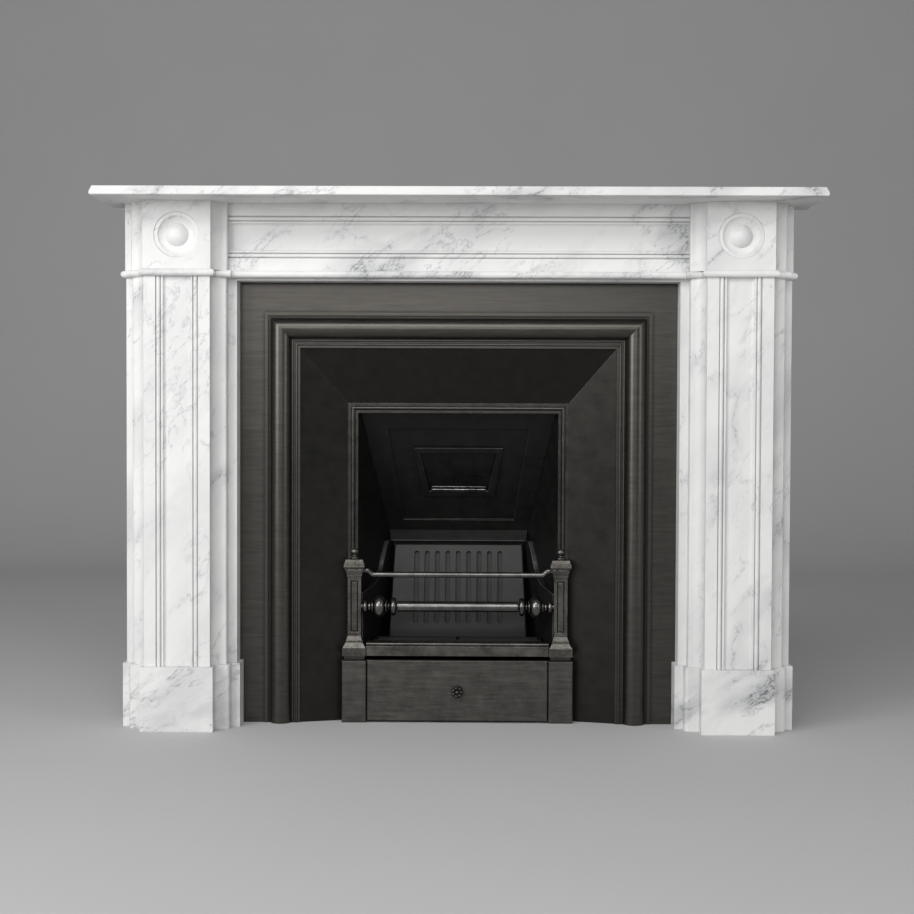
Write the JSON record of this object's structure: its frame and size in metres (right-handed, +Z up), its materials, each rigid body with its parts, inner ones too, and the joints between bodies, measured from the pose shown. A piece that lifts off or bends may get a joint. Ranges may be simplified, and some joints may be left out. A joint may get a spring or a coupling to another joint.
{
  "type": "marble fireplace surround with cast-iron insert",
  "caption": "Marble chimneypiece with moulded jambs and bullseye corner blocks round a splayed cast-iron insert with front bars, a tipping damper and a pull-out ash drawer.",
  "frame": {"origin": "floor level on the wall plane, midway between the jambs, on the underside of the iron base plate", "axes": "+X to the right as seen from the room, +Y into the wall, +Z up"},
  "size_m": [1.524, 0.417, 1.148],
  "materials": {
    "marble": "satin",
    "blacked_iron": "satin",
    "fire_iron": "matte",
    "polished_iron": "satin",
    "sand_cast_iron": "matte",
    "sheet_iron": "matte",
    "steel": "satin"
  },
  "bodies": {
    "surround": {"back_plate": "blacked_iron", "back_sill": "fire_iron", "base_plate": "blacked_iron", "fire_grate": "fire_iron", "flap_pin": "steel", "fluted_fireback": "fire_iron", "frame_bolts": "steel", "frieze_nosing": "marble", "frieze_panel": "marble", "front_frame": "blacked_iron", "grate_carrier": "fire_iron", "head_splay_panel": "blacked_iron", "header_soffit": "marble", "hob_rail": "blacked_iron", "inner_frame": "blacked_iron", "left_corner_block": "marble", "left_fire_cheek": "fire_iron", "left_firebox_cheek": "blacked_iron", "left_grate_post": "blacked_iron", "left_inner_cove": "marble", "left_jamb_backing": "marble", "left_jamb_slip": "marble", "left_necking": "marble", "left_outer_cove": "marble", "left_outer_return": "marble", "left_pilaster": "marble", "left_pit_block": "sand_cast_iron", "left_plinth": "marble", "left_roundel": "marble", "left_splay_panel": "blacked_iron", "mantel_shelf": "marble", "right_corner_block": "marble", "right_fire_cheek": "fire_iron", "right_firebox_cheek": "blacked_iron", "right_grate_post": "blacked_iron", "right_inner_cove": "marble", "right_jamb_backing": "marble", "right_jamb_slip": "marble", "right_necking": "marble", "right_outer_cove": "marble", "right_outer_return": "marble", "right_pilaster": "marble", "right_pit_block": "sand_cast_iron", "right_plinth": "marble", "right_roundel": "marble", "right_splay_panel": "blacked_iron", "shelf_ties": "steel", "top_bar": "polished_iron", "turned_bar": "polished_iron", "upper_back": "blacked_iron"},
    "ash_drawer": {"ash_cover": "sand_cast_iron", "ash_pan": "sheet_iron", "knob_screw": "steel", "cover_knob": "sand_cast_iron"},
    "damper": {"damper_flap": "blacked_iron"}
  },
  "joints": [
    {"name": "ash_drawer_slide", "type": "slide", "parent": "surround", "child": "ash_drawer", "axis": [0, -1, 0], "range_m": [0, 0.16]},
    {"name": "damper_hinge", "type": "hinge", "parent": "surround", "child": "damper", "pos_m": [0, 0.16211, 0.49561], "axis": [-1, 0, 0], "range_deg": [0, 50]}
  ]
}
